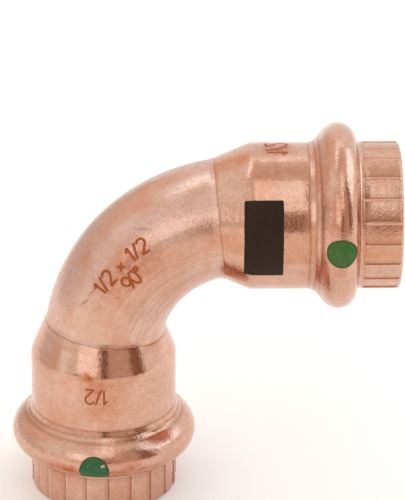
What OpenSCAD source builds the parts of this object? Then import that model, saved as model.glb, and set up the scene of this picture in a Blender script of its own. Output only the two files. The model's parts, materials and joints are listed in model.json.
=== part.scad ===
// Copper press fit elbow: a bend of 90 degrees with a press socket on each end.
// The origin is the centre of the lower socket's mouth, which opens along -Z.
// The upper socket's mouth opens along +X. All sizes are in millimetres.

/* [Bend] */
// Outside diameter of the bent tube
bend_d = 14.9; // [14.2:0.1:16]
// Wall of the bent tube
bend_wall = 1.1; // [0.7:0.05:1.6]
// Radius of the bend's centre line
bend_r = 17.5; // [15:0.1:30]

/* [Sockets] */
// Bore of a socket, an easy fit over tube of 15.88 mm
bore_d = 16.1; // [15.95:0.01:16.6]
// Wall of a socket
socket_wall = 1.15; // [0.8:0.05:1.6]
// Length of a socket, from its mouth to the corner of its shoulder
socket_depth = 18.8; // [16:0.1:30]
// Straight stretch between the end of the bend and the corner of the shoulder
straight_run = 0.8; // [0.4:0.1:12]
// Slope of the shoulder against the socket's axis, in degrees
shoulder_angle = 23; // [18:0.5:35]
// Round of the shoulder's corner, on the outside
shoulder_round = 2.7; // [1.8:0.1:4]
// Round of the rim, on the outside of the mouth
rim_round = 0.5; // [0.1:0.05:0.7]

/* [Seals] */
// Diameter of a seal ring's section
seal_section = 2.6; // [1.8:0.05:3]
// Radial distance from the socket's bore back to the inside of the seal ring
seal_set_back = 0.1; // [0:0.01:0.3]
// Clearance between a seal ring and the groove that holds it
seal_clearance = 0.05; // [0.02:0.01:0.15]

/* [Beads] */
// Distance from the mouth to the crest of the bead
bead_at = 7.7; // [6.5:0.1:10]
// Wall of the bead over the seal ring
bead_wall = 0.9; // [0.6:0.05:1.3]
// Slope of the bead's flank towards the bend, in degrees
bend_flank_angle = 45; // [38:1:60]
// Slope of the bead's flank towards the mouth, in degrees
mouth_flank_angle = 80; // [50:1:82]
// Round at the foot of the flank towards the bend
bend_foot_round = 1.4; // [0.4:0.1:2]
// Round at the foot of the flank towards the mouth
mouth_foot_round = 0.5; // [0.1:0.1:1]
// Round of the groove's edges in the bore
groove_edge_round = 0.5; // [0.2:0.1:1]

/* [Collar ribs] */
// Number of thin ribs around the collar between the bead and the mouth
rib_count = 20; // [8:1:28]
// Diameter that a rib is rounded to
rib_d = 0.4; // [0.3:0.05:0.8]
// Height of a rib above the collar
rib_h = 0.08; // [0.04:0.01:0.15]
// Plain strip between the ribs and the foot of the bead
rib_strip = 0.3; // [0:0.05:1]
// Turn of the lower collar's ribs about the socket's axis, in degrees
lower_rib_turn = 4.5; // [0:0.5:18]

/* [Hidden] */

$fn = 128;
// Largest turn of one straight step along a rounded corner, in degrees
arc_step = 6;
// How far a cut runs past the face that it opens
cut_over = 1;

copper = [0.84, 0.56, 0.44];
black_rubber = [0.07, 0.07, 0.07];

bore_r = bore_d / 2;
socket_r = bore_r + socket_wall;
bend_out_r = bend_d / 2;
bend_bore_r = bend_out_r - bend_wall;
arm = bend_r + straight_run + socket_depth;

seal_ring_r = bore_r + seal_set_back + seal_section / 2;
groove_section_r = seal_section / 2 + seal_clearance;
bead_section_r = groove_section_r + bead_wall;

// The shoulder's cone runs on inside the bend, to where its slope equals that of the bend's outside,
// or to where it has closed to half the bend's bore.
shoulder_l = min(
    straight_run + (bend_r + bend_out_r) * sin(shoulder_angle),
    (socket_r - bend_bore_r / 2) / tan(shoulder_angle)
);
shoulder_end = socket_depth + shoulder_l;
// The inside corner of the shoulder keeps the socket's wall on both of its sides.
stop_depth = socket_depth - socket_wall * tan(shoulder_angle / 2);
stop_round = max(shoulder_round - socket_wall, rim_round);

rib_start = rim_round;
rib_end = bead_at - foot(mouth_flank_angle, bead_section_r, socket_r)
    - mouth_foot_round * tan(mouth_flank_angle / 2) - rib_strip;

function unit(v) = v / norm(v);
function heading(v) = atan2(v[1], v[0]);

// The points of an arc of radius r that rounds the corner b between the points a and c
function rounded(a, b, c, r) =
    let (
        u = unit(a - b),
        v = unit(c - b),
        half = acos(u * v) / 2,
        middle = b + unit(u + v) * r / sin(half),
        start = heading(b + u * r / tan(half) - middle),
        side = cross(b - a, c - b) > 0 ? 1 : -1,
        sweep = side * (180 - 2 * half),
        steps = ceil(abs(sweep) / arc_step)
    )
    [for (i = [0:steps]) let (t = start + sweep * i / steps) middle + r * [cos(t), sin(t)]];

// Distance along the axis from the crest of a bead to the foot of a flank, on a wall of radius level
function foot(angle, section_r, level) =
    (section_r + (seal_ring_r - level) * cos(angle)) / sin(angle);

// The corner points [radius, depth] of a bead: its foot towards the bend, its peak and its other foot.
// The peak is where the flanks would meet, and a round of section_r there touches both of them.
function bead_corners(section_r, level) =
    let (
        bend_foot = foot(bend_flank_angle, section_r, level),
        mouth_foot = foot(mouth_flank_angle, section_r, level),
        rise = tan(bend_flank_angle),
        fall = tan(mouth_flank_angle),
        shift = (bend_foot * rise - mouth_foot * fall) / (rise + fall)
    )
    [
        [level, bead_at + bend_foot],
        [level + (bend_foot - shift) * rise, bead_at + shift],
        [level, bead_at - mouth_foot]
    ];

// The outline of a wall from the end of the shoulder to the mouth, with rounded corners
function wall_outline(level, corner_depth, section_r, corner_round, bend_round, mouth_round) =
    let (
        tip = [level - (shoulder_end - corner_depth) * tan(shoulder_angle), shoulder_end],
        corner = [level, corner_depth],
        bead = bead_corners(section_r, level),
        mouth = [level, 0]
    )
    concat(
        [[0, shoulder_end], tip],
        rounded(tip, corner, bead[0], corner_round),
        rounded(corner, bead[0], bead[1], bend_round),
        rounded(bead[0], bead[1], bead[2], section_r),
        rounded(bead[1], bead[2], mouth, mouth_round)
    );

module socket_outside() {
    outline = wall_outline(
        socket_r, socket_depth, bead_section_r, shoulder_round, bend_foot_round, mouth_foot_round
    );
    rim = rounded([socket_r, rib_end], [socket_r, 0], [0, 0], rim_round);
    rotate_extrude()
        polygon(concat(outline, rim, [[0, 0]]));
}

module socket_inside() {
    outline = wall_outline(
        bore_r, stop_depth, groove_section_r, stop_round, groove_edge_round, groove_edge_round
    );
    rotate_extrude()
        polygon(concat(outline, [[bore_r, -cut_over], [0, -cut_over]]));
}

module collar_ribs() {
    for (i = [0:rib_count - 1])
        rotate([0, 0, i * 360 / rib_count])
            translate([socket_r + rib_h - rib_d / 2, 0, rib_start])
                cylinder(d = rib_d, h = rib_end - rib_start, $fn = 24);
}

// The bend's quarter turn and the straight stretch at each of its ends, as one round bar
module bent_bar(r) {
    translate([bend_r, 0, arm - bend_r])
        rotate([90, 0, 0])
            rotate([0, 0, 90])
                rotate_extrude(angle = 90)
                    translate([bend_r, 0])
                        circle(r = r);
    translate([0, 0, socket_depth])
        cylinder(r = r, h = straight_run);
    at_upper_socket()
        translate([0, 0, socket_depth])
            cylinder(r = r, h = straight_run);
}

// Places what is drawn for the lower socket on the upper one
module at_upper_socket() {
    translate([arm, 0, arm])
        rotate([0, -90, 0])
            children();
}

module seal() {
    translate([0, 0, bead_at])
        rotate_extrude()
            translate([seal_ring_r, 0])
                circle(d = seal_section, $fn = 48);
}

module elbow_body() {
    color(copper)
        difference() {
            union() {
                bent_bar(bend_out_r);
                socket_outside();
                rotate([0, 0, lower_rib_turn])
                    collar_ribs();
                at_upper_socket() {
                    socket_outside();
                    collar_ribs();
                }
            }
            bent_bar(bend_bore_r);
            socket_inside();
            at_upper_socket()
                socket_inside();
        }
}

module upper_seal() {
    color(black_rubber)
        at_upper_socket()
            seal();
}

module lower_seal() {
    color(black_rubber)
        seal();
}

elbow_body();
upper_seal();
lower_seal();
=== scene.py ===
"""Copper press fit elbow: the looks of a bent tube with a press socket at each end.

The file is laid out as an add-on. Its panel lists one operator for each group of pieces and one for the
stage, and main() runs them all in order. All lengths are in metres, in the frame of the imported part: the
origin is the centre of the lower socket's mouth, +Z runs into that socket and +X out of the upper one.
"""
import json
from types import SimpleNamespace

import bpy
import numpy as np
from mathutils import Matrix, Vector


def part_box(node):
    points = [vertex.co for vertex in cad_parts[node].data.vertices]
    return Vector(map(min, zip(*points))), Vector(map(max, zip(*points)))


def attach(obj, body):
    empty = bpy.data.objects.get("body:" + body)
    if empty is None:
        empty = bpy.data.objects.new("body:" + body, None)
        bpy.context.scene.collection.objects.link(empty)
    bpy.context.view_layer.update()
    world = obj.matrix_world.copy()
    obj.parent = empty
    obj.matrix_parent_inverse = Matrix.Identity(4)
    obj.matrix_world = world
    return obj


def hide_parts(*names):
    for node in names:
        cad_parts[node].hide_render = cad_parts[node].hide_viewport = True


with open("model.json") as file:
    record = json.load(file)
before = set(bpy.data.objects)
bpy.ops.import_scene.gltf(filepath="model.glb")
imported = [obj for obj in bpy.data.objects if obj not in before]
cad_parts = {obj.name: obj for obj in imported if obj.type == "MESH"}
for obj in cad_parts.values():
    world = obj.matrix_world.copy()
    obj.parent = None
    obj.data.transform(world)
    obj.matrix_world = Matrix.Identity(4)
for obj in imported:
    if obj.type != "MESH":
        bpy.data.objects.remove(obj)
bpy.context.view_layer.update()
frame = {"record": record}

bl_info = {
    "name": "Copper press fit elbow",
    "version": (1, 0, 0),
    "blender": (4, 5, 0),
    "location": "3D View > Sidebar > Elbow",
    "description": "Builds the copper body, seals and marks of a press fit elbow",
    "category": "Add Mesh",
}

MM = 0.001

# What the frame says of the sockets and of the rings in their beads
MOUNTS = {mount["name"]: mount for mount in frame["record"]["mounts"]}
BORE_R = MOUNTS["lower_socket"]["dims"]["r_mm"] * MM
ARM = MOUNTS["upper_socket"]["pos_m"][0]
SEAL_LOW, SEAL_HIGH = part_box("lower_seal")
SEAL_SECTION = SEAL_HIGH.z - SEAL_LOW.z
SEAL_RING_R = SEAL_HIGH.x - SEAL_SECTION / 2
BEAD_AT = (SEAL_LOW.z + SEAL_HIGH.z) / 2
BEAD_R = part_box("elbow_body")[1].y

# The camera that the photograph's outline gives, with its azimuth and elevation in degrees
CAMERA_AZIMUTH, CAMERA_ELEVATION = -1.714, 25.077
CAMERA_ROLL = np.radians(-0.327)
CAMERA_DISTANCE = 490.1 * MM
CAMERA_TARGET = Vector((12.51 * MM, 0.0, ARM - 4.71 * MM))
CAMERA_LENS_MM = 280.8
CAMERA_SENSOR_MM = 36.0
CAMERA_CLIP = 10 * MM

# Fineness of the grids: the largest turn of a step on a round, the largest step along a wall, the numbers
# of rows and columns, the rows across a seam and, as shares of the blend, on both sides of a crease, and
# the columns on each side of a rib
OUTER_STEP = np.radians(7.5)
INNER_STEP = np.radians(14)
OUTER_GAP = 1.2 * MM
INNER_GAP = 2.5 * MM
CONE_STEPS = 6
BEND_STEPS = 25
SEAM_ROWS = np.array((0.28, 0.17, 0.09, 0.0, -0.09, -0.17)) * MM
BLEND_ROWS = np.array((0.55, 0.25, 0.0))
BEND_ROWS = np.array((0.25, 0.55, 1.0))
FLANK_ROWS = 9
SEAL_COLUMNS = 192
SEAL_ROWS = 64
RIB_COLUMNS = np.array((0.0, 0.06, 0.11, 0.15, 0.19, 0.27)) * MM
PANEL_COLUMNS = 3
# Halvings that find a crease to far below the grid's fineness
HALVINGS = 50

# Darker lines and paler rib tops on the sockets: shift of the middle and half width of the darker line at
# the ribs' ends and at the bead's foot, of the painted shade along one side of each rib, and of the painted
# highlight, with some wear, on its top
END_AT, END_WIDE = 0.06 * MM, 0.12 * MM
FOOT_AT, FOOT_WIDE = 0.4 * MM, 0.1 * MM
RIB_AT, RIB_WIDE = -0.19 * MM, 0.09 * MM
TOP_AT, TOP_WIDE = 0.05 * MM, 0.08 * MM
# How much wider than a seam or a rolled line its darker line is, and how strong the darkening is in each
# place, along one side of the ribs as painted shade
SEAM_SPREAD, RING_SPREAD = 1.2, 1.3
SEAM_DIRT, RING_DIRT, END_DIRT, FOOT_DIRT, RIB_DIRT = 0.5, 0.5, 0.4, 0.3, 0.9

# Where the bow of a bead's flank starts behind the crest, and how long it is
FLANK_FROM = 0.9 * MM
FLANK_LENGTH = 2.7 * MM

# Rolled lines from a bead's foot: one just behind the bead, one in the foot's round, one up its flank
RING_LINES = np.array((0.475, -0.275, -0.85)) * MM

# The mould line of a seal ring: its height, and the sine of half the angle that it takes up
MOULD_LINE = 0.02 * MM
MOULD_LINE_WIDE = 0.08

# Ripples along the drawn bend: waves about the tube, their drift with the bend's turn, phase and share
RIPPLES = ((23, 2.1, 0.4, 1.0), (37, -3.3, 1.9, 0.7), (58, 1.2, 4.0, 0.5))
RIPPLE_RUN_IN = 2 * MM


def linear(hex_colour):
    """The linear colour of an sRGB hex value."""
    value = np.array([int(hex_colour[i:i + 2], 16) for i in (1, 3, 5)]) / 255
    bent = np.where(value <= 0.04045, value / 12.92, ((value + 0.055) / 1.055) ** 2.4)
    return tuple(float(channel) for channel in bent)


def length(name, description, mm):
    """A length property with its default in millimetres."""
    return bpy.props.FloatProperty(
        name=name, description=description, default=mm * MM, unit="LENGTH", precision=5
    )


def angle(name, description, degrees):
    """An angle property with its default in degrees."""
    return bpy.props.FloatProperty(
        name=name, description=description, default=float(np.radians(degrees)), subtype="ANGLE"
    )


def colour(name, description, hex_colour):
    """A colour property with its default as an sRGB hex value."""
    return bpy.props.FloatVectorProperty(
        name=name, description=description, default=linear(hex_colour),
        subtype="COLOR", size=3, min=0, max=1,
    )


class ElbowSizes(bpy.types.PropertyGroup):
    """Sizes of the copper body."""

    bend_d: length("Bend diameter", "Outside diameter of the bent tube", 14.9)
    bend_wall: length("Bend wall", "Wall of the bent tube", 1.1)
    bend_r: length("Bend radius", "Radius of the bend's centre line", 17.5)
    socket_wall: length("Socket wall", "Wall of a socket", 1.15)
    socket_depth: length("Socket depth", "From the mouth to the corner of the shoulder", 18.8)
    shoulder_angle: angle("Shoulder slope", "Slope of the shoulder against the socket's axis", 23)
    shoulder_round: length("Shoulder round", "Round of the shoulder's corner", 2.7)
    rim_round: length("Rim round", "Round of the rim on the outside of the mouth", 0.5)
    burr_round: length("Bore edge round", "Round of the bore's edge at the mouth", 0.2)
    groove_clearance: length("Groove clearance", "Between a seal ring and its groove", 0.05)
    groove_edge_round: length("Groove edge round", "Round of the groove's edges in the bore", 0.5)
    bend_flank_angle: angle("Bead flank to the bend", "Slope of the bead's flank towards the bend", 45)
    mouth_flank_angle: angle("Bead flank to the mouth", "Slope of the bead's flank towards the mouth", 80)
    flank_bow: length("Bead flank bow", "How far that flank bows out at the crest and in at the foot", 0.12)
    bend_foot_round: length("Foot round to the bend", "Round at the foot towards the bend", 1.4)
    mouth_foot_round: length("Foot round to the mouth", "Round at the foot towards the mouth", 0.5)
    rib_count: bpy.props.IntProperty(name="Ribs", description="Ribs around a collar", default=20, min=8)
    rib_d: length("Rib diameter", "Diameter that a rib is rounded to", 0.4)
    rib_h: length("Rib height", "Height of a rib above the collar", 0.08)
    rib_from: length("Ribs start", "Where the ribs start behind the mouth", 0.35)
    rib_strip: length("Rib strip", "Plain strip between the ribs and the foot of the bead", 0.3)
    rib_fade: length("Rib end slope", "Length over which a rib's end runs out", 0.1)
    panel_sink: length("Panel sink", "How far the panels between the ribs lie below the collar", 0.05)
    lower_rib_turn: angle("Lower rib turn", "Turn of the lower collar's ribs about its axis", 4.5)
    blend: length("Shoulder blend", "Length over which the shoulder blends into the bend", 0.5)
    seam_sink: length("Seam depth", "Depth of the crease between shoulder and bend", 0.025)
    seam_width: length("Seam width", "Half width of that crease", 0.09)
    ring_sink: length("Ring line depth", "Depth of the rolled lines beside the bead", 0.04)
    ring_width: length("Ring line width", "Half width of those lines", 0.13)
    ripple: length("Draw ripple", "Height of the faint ripples along the bend", 0.004)


class MarkSizes(bpy.types.PropertyGroup):
    """Sizes and places of the paint dabs, the printed field and the size marks."""

    dot_d: length("Dab diameter", "Diameter of a paint dab", 3.85)
    dot_lift: length("Dab thickness", "Thickness of the paint", 0.03)
    upper_dot_depth: length("Upper dab depth", "From the upper mouth to the dab's middle", 7.76)
    upper_dot_turn: angle("Upper dab turn", "From the front towards the top", -0.3)
    lower_dot_depth: length("Lower dab depth", "From the lower mouth to the dab's middle", 7.15)
    lower_dot_turn: angle("Lower dab turn", "From the front towards the upper socket", -6.5)
    field_length: length("Field length", "Length of the printed field along the socket", 4.88)
    field_from: angle("Field lower edge", "From the front towards the top", -29.2)
    field_to: angle("Field upper edge", "From the front towards the top", 36.2)
    field_depth: length("Field depth", "From the upper mouth to the field's middle", 17.27)
    field_lift: length("Ink thickness", "Thickness of the printed ink", 0.012)
    digit_h: length("Digit height", "Height of the size mark's digits", 2.0)
    digit_stroke: length("Digit stroke", "Width of the size mark's strokes", 0.26)
    digit_lift: length("Digit lift", "How far the marked strokes stand above the metal", 0.008)


class ElbowColours(bpy.types.PropertyGroup):
    """Colours of the metal, the rubber, the marks and the floor."""

    # The pale copper of the bend and of the sockets is also what the painted highlights on the bend's upper
    # side and on the rib tops lead to
    bend_pale: colour("Pale bend", "Copper of the bend where it is bright", "#E2BEAE")
    bend_deep: colour("Deep bend", "Copper of the bend where it has darkened", "#CB9D8A")
    copper_pale: colour("Pale copper", "Copper where it was rubbed bright", "#E4BAA6")
    copper_deep: colour("Deep copper", "Copper where it has darkened", "#CB977F")
    copper_warm: colour("Stained copper", "Orange stains on the copper", "#D2946E")
    copper_heat: colour("Heated copper", "Copper beside a burnt mark", "#BF6A3E")
    # Brown of the dark specks, of the darker lines in the creases and rolled lines, and of the painted
    # shade along one side of each rib
    seam_brown: colour("Seam", "Dirt and oxide in the creases", "#A3613F")
    scuff: colour("Scuff", "Dark scuffs on the bend and the shoulder", "#8F7064")
    burnt: colour("Burnt mark", "Strokes burnt into the copper", "#93491F")
    rubber: colour("Rubber", "Seal rings", "#161616")
    rubber_bloom: colour("Rubber bloom", "Greyer patches on the seal rings", "#232221")
    green: colour("Paint", "Paint dabs", "#3E6E34")
    green_cool: colour("Lower paint", "Thicker paint of the lower dab", "#2C6840")
    green_dark: colour("Paint edge", "Thick paint at a dab's edge", "#3C4A24")
    ink: colour("Ink", "Printed field", "#2E2019")
    ink_worn: colour("Worn ink", "Specks where the ink is thin", "#5E4233")
    floor: colour("Floor", "Studio floor", "#FFFEFC")
    front_board: colour("Front board", "Warm white board in front of the elbow", "#F3E2D2")


# Helpers for shapes and meshes


def full_turn(count):
    """Angles of a full turn in equal steps, without its end."""
    return np.linspace(0, 2 * np.pi, count, endpoint=False)


def polar(radius, turn):
    """Points of a plane at a radius and an angle."""
    return np.stack((radius * np.cos(turn), radius * np.sin(turn)), axis=-1)


def bell(away, width):
    """A bell curve: one in its middle, falling as e to the minus square of the distance over its width."""
    return np.exp(-(away / width) ** 2)


def patch(along, aside, long, wide):
    """A flat patch with a soft edge: as the bell curve, with the fourth power in both directions."""
    return np.exp(-(along / long) ** 4 - (aside / wide) ** 4)


def angle_from(turn, around, whole=2 * np.pi):
    """The signed angle from a turn, or from the nearest of its repeats, to around."""
    return (around - turn + whole / 2) % whole - whole / 2


def shell(grid, poles=None):
    """The vertices and faces of a closed grid [row, column, xyz] whose columns run round in a ring.

    Without poles the last row joins the first, as on a torus. With poles, a first and a last point, the
    first and last rows close on them as fans. Faces are turned so that the volume inside is positive.
    """
    rows, columns = grid.shape[:2]
    points = grid.reshape(-1, 3)
    index = np.arange(rows * columns).reshape(rows, columns)
    beside = np.roll(index, -1, axis=1)
    last = rows if poles is None else rows - 1
    below = np.roll(index, -1, axis=0)[:last]
    beside_below = np.roll(beside, -1, axis=0)[:last]
    quads = np.stack((index[:last], beside[:last], beside_below, below), axis=-1).reshape(-1, 4)
    triangles = np.empty((0, 3), dtype=int)
    if poles is not None:
        top, bottom = len(points), len(points) + 1
        points = np.vstack((points, poles))
        fan_top = np.stack((np.full(columns, top), beside[0], index[0]), axis=-1)
        fan_bottom = np.stack((np.full(columns, bottom), index[-1], beside[-1]), axis=-1)
        triangles = np.vstack((fan_top, fan_bottom))
    halves = np.vstack((quads[:, [0, 1, 2]], quads[:, [0, 2, 3]], triangles))
    a, b, c = (points[halves[:, k]] for k in range(3))
    if np.einsum("ij,ij->i", a, np.cross(b, c)).sum() < 0:
        quads, triangles = quads[:, ::-1], triangles[:, ::-1]
    return points, quads, triangles


def build(name, shells, material, attributes=None):
    """One mesh object at the origin from shells, with float or vector attributes on its points."""
    offsets = np.cumsum([0] + [len(points) for points, _, _ in shells])
    points = np.vstack([part[0] for part in shells])
    quads = np.vstack([part[1] + start for part, start in zip(shells, offsets)])
    triangles = np.vstack([part[2] + start for part, start in zip(shells, offsets)])
    corners = np.concatenate((quads.ravel(), triangles.ravel()))
    sizes = np.concatenate((np.full(len(quads), 4), np.full(len(triangles), 3)))
    mesh = bpy.data.meshes.new(name)
    mesh.vertices.add(len(points))
    mesh.vertices.foreach_set("co", points.astype(np.float32).ravel())
    mesh.loops.add(len(corners))
    mesh.loops.foreach_set("vertex_index", corners.astype(np.int32))
    mesh.polygons.add(len(sizes))
    mesh.polygons.foreach_set("loop_start", (np.cumsum(sizes) - sizes).astype(np.int32))
    mesh.update(calc_edges=True)
    for label, values in (attributes or {}).items():
        kind, field = ("FLOAT_VECTOR", "vector") if values.ndim == 3 else ("FLOAT", "value")
        layer = mesh.attributes.new(label, kind, "POINT")
        layer.data.foreach_set(field, values.astype(np.float32).ravel())
    mesh.shade_smooth()
    mesh.materials.append(material)
    if mesh.validate():
        raise RuntimeError(f"{name} had faulty faces")
    piece = bpy.data.objects.new(name, mesh)
    bpy.context.scene.collection.objects.link(piece)
    return piece


def hand_in(piece, slot, *nodes):
    """Makes a piece ride on the part and hides the solids that it stands for; slot is not used."""
    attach(piece, "root")
    if nodes:
        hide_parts(*nodes)


# The elbow's shape


def rounded(before, corner, after, radius, step):
    """The points of an arc of that radius that rounds a corner between two straight stretches."""
    before, corner, after = (np.array(point) for point in (before, corner, after))
    back = (before - corner) / np.linalg.norm(before - corner)
    ahead = (after - corner) / np.linalg.norm(after - corner)
    half = np.arccos(back @ ahead) / 2
    middle = corner + (back + ahead) / np.linalg.norm(back + ahead) * radius / np.sin(half)
    start = corner + back * radius / np.tan(half) - middle
    side = np.sign(np.cross(corner - before, after - corner))
    sweep = side * (np.pi - 2 * half)
    turn = np.arctan2(start[1], start[0]) + np.linspace(0, sweep, int(np.ceil(abs(sweep) / step)) + 1)
    return middle + polar(radius, turn)


def bead_corners(sizes, section_r, level):
    """Foot, peak and foot of a bead as [radius, depth], where its flanks' straight lines meet."""
    rise, fall = np.tan(sizes.bend_flank_angle), np.tan(sizes.mouth_flank_angle)
    lean = SEAL_RING_R - level
    bend_foot = (section_r + lean * np.cos(sizes.bend_flank_angle)) / np.sin(sizes.bend_flank_angle)
    mouth_foot = (section_r + lean * np.cos(sizes.mouth_flank_angle)) / np.sin(sizes.mouth_flank_angle)
    shift = (bend_foot * rise - mouth_foot * fall) / (rise + fall)
    return (
        (level, BEAD_AT - mouth_foot),
        (level + (bend_foot - shift) * rise, BEAD_AT + shift),
        (level, BEAD_AT + bend_foot),
    )


def wall_profile(
    sizes, level, corner_depth, section_r, corner_round, foot_rounds, edge, fineness, extra=()
):
    """A socket wall from its mouth to the start of the shoulder's cone, as columns of radius and depth.

    Straight lines join the mouth's edge, the bead's two feet and peak and the shoulder's corner, and each
    corner is an arc. edge is the arc at the mouth. fineness holds the turn of a step on an arc and the
    largest gap between rows. Depths in extra become rows of their own.
    """
    step, gap = fineness
    slope = np.tan(sizes.shoulder_angle)
    near, peak, far = bead_corners(sizes, section_r, level)
    corner = (level, corner_depth)
    tip = (level - sizes.bend_d * slope, corner_depth + sizes.bend_d)
    arcs = np.vstack((
        edge,
        rounded((level, 0.0), near, peak, foot_rounds[0], step),
        rounded(near, peak, far, section_r, step),
        rounded(peak, far, corner, foot_rounds[1], step),
        rounded(far, corner, tip, corner_round, step),
    ))
    steps = np.maximum(1, np.ceil(np.diff(arcs[:, 1]) / gap)).astype(int)
    part = (np.arange(steps.sum()) - np.repeat(np.cumsum(steps) - steps, steps)) / np.repeat(steps, steps)
    filled = np.repeat(arcs[:-1, 1], steps) + part * np.repeat(np.diff(arcs[:, 1]), steps)
    depth = np.unique(np.concatenate((filled, arcs[-1:, 1], extra)).round(9))
    return np.interp(depth, arcs[:, 1], arcs[:, 0]), depth


def crease(sizes, turn, level, corner_depth, bend_radius):
    """Depth at which the shoulder's cone meets the bend, for each angle turn about the socket's axis.

    The cone's radius falls with depth by the tangent of its slope. Halving an interval finds where a point
    of the cone lies as far from the bend's centre line as the bent tube's radius.
    """
    slope = np.tan(sizes.shoulder_angle)
    start = ARM - sizes.bend_r
    low = np.full_like(turn, corner_depth)
    high = np.full_like(turn, corner_depth + (level - bend_radius / 2) / slope)
    for _ in range(HALVINGS):
        depth = (low + high) / 2
        radius = level - (depth - corner_depth) * slope
        across = radius * np.cos(turn) - sizes.bend_r
        reach = np.where(depth > start, np.hypot(across, depth - start), -across)
        outside = np.hypot(reach - sizes.bend_r, radius * np.sin(turn)) > bend_radius
        low = np.where(outside, depth, low)
        high = np.where(outside, high, depth)
    return (low + high) / 2


def on_leg(leg, across, side, depth):
    """Points of a leg in the part's frame: across runs to the bend's centre, depth in from the mouth."""
    if leg == "lower":
        return np.stack((across, side, depth), axis=-1)
    return np.stack((ARM - depth, side, ARM - across), axis=-1)


def on_bend(sizes, turn, around, radius):
    """Points of the bend: a circle of that radius carried round the bend's centre by turn.

    around starts on the side of the bend's centre, so the distance to that centre is the bend's radius
    less radius times the cosine of around.
    """
    reach = sizes.bend_r - radius * np.cos(around)
    return np.stack((
        sizes.bend_r - reach * np.cos(turn),
        radius * np.sin(around) + 0 * turn,
        ARM - sizes.bend_r + reach * np.sin(turn),
    ), axis=-1)


def rib_relief(sizes, level, rib_to, turn, depth):
    """Height above the collar: a round rib at each pitch, sunk panels between, nothing past their ends."""
    aside = level * angle_from(0.0, turn, 2 * np.pi / sizes.rib_count)
    half = sizes.rib_d / 2
    rise = np.sqrt(np.maximum(half ** 2 - aside ** 2, 0)) - half + sizes.rib_h
    run_in = np.clip((depth - sizes.rib_from) / sizes.rib_fade, 0, 1)
    run_out = np.clip((rib_to - depth) / sizes.rib_fade, 0, 1)
    return np.maximum(rise, -sizes.panel_sink) * run_in * run_out


def column_turns(sizes, level):
    """Angles of the grid's columns: close together across each rib and wider between the ribs."""
    half_pitch = np.pi / sizes.rib_count
    near = RIB_COLUMNS / level
    far = np.linspace(near[-1], half_pitch, PANEL_COLUMNS)[1:]
    half = np.concatenate((near, far))
    pattern = np.concatenate((half, 2 * half_pitch - half[-2:0:-1]))
    return (np.arange(sizes.rib_count)[:, None] * 2 * half_pitch + pattern).ravel()


def flank_bow(sizes, depth):
    """The S of the bead's flank towards the bend: out near the crest and in near the foot.

    One wave of a sine along the flank, under a squared half wave that takes it smoothly to nothing at both
    ends.
    """
    part = np.clip((depth - BEAD_AT - FLANK_FROM) / FLANK_LENGTH, 0, 1)
    return sizes.flank_bow * np.sin(2 * np.pi * part) * np.sin(np.pi * part) ** 2


def elbow_shape(sizes):
    """The measures that the body and its marks share, with the outer and inner wall profiles."""
    shape = SimpleNamespace()
    shape.socket_r = BORE_R + sizes.socket_wall
    shape.bend_out_r = sizes.bend_d / 2
    shape.bend_bore_r = shape.bend_out_r - sizes.bend_wall
    shape.stop_depth = sizes.socket_depth - sizes.socket_wall * np.tan(sizes.shoulder_angle / 2)
    # The bead lies below the solid's box by the thickness of the paint on it
    bead_section = BEAD_R - SEAL_RING_R - bpy.context.scene.elbow_marks.dot_lift
    groove_section = SEAL_SECTION / 2 + sizes.groove_clearance
    level, rim, burr = shape.socket_r, sizes.rim_round, sizes.burr_round
    near_foot, _, far_foot = (corner[1] for corner in bead_corners(sizes, bead_section, level))
    shape.foot_from = near_foot - sizes.mouth_foot_round * np.tan(sizes.mouth_flank_angle / 2)
    shape.rib_to = shape.foot_from - sizes.rib_strip
    shape.ring_depths = far_foot + RING_LINES
    ring_rows = (shape.ring_depths[:, None] + np.linspace(-2, 2, 5) * sizes.ring_width).ravel()
    rib_rows = (
        sizes.rib_from, sizes.rib_from + sizes.rib_fade, shape.rib_to - sizes.rib_fade, shape.rib_to,
    )
    flank_rows = BEAD_AT + FLANK_FROM + np.linspace(0, 1, FLANK_ROWS) * FLANK_LENGTH
    shape.outer = wall_profile(
        sizes, level, sizes.socket_depth, bead_section, sizes.shoulder_round,
        (sizes.mouth_foot_round, sizes.bend_foot_round),
        rounded((0.0, 0.0), (level, 0.0), (level, 4 * rim), rim, 2 * OUTER_STEP),
        (OUTER_STEP, OUTER_GAP),
        np.concatenate((ring_rows, rib_rows, flank_rows)),
    )
    radius, depth = shape.outer
    shape.outer = (radius + flank_bow(sizes, depth), depth)
    shape.inner = wall_profile(
        sizes, BORE_R, shape.stop_depth, groove_section, max(sizes.shoulder_round - sizes.socket_wall, rim),
        (sizes.groove_edge_round, sizes.groove_edge_round),
        rounded((2 * BORE_R, 0.0), (BORE_R, 0.0), (BORE_R, 4 * burr), burr, 2 * INNER_STEP),
        (INNER_STEP, INNER_GAP),
    )
    shape.turns = column_turns(sizes, level)
    return shape


def blend_lift(sizes, away, turn, bent):
    """Lift of the concave blend between shoulder and bend, at a distance from their crease.

    A parabola touches both sides at the blend's length from the crease, so the lift falls with the square
    of the distance. The sides differ in slope by the shoulder's angle plus the bend's own turn there, bent.
    """
    half = (sizes.shoulder_angle + bent * np.cos(turn)) / 2
    return sizes.blend * np.tan(half) / 2 * np.clip(1 - away / sizes.blend, 0, 1) ** 2


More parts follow.
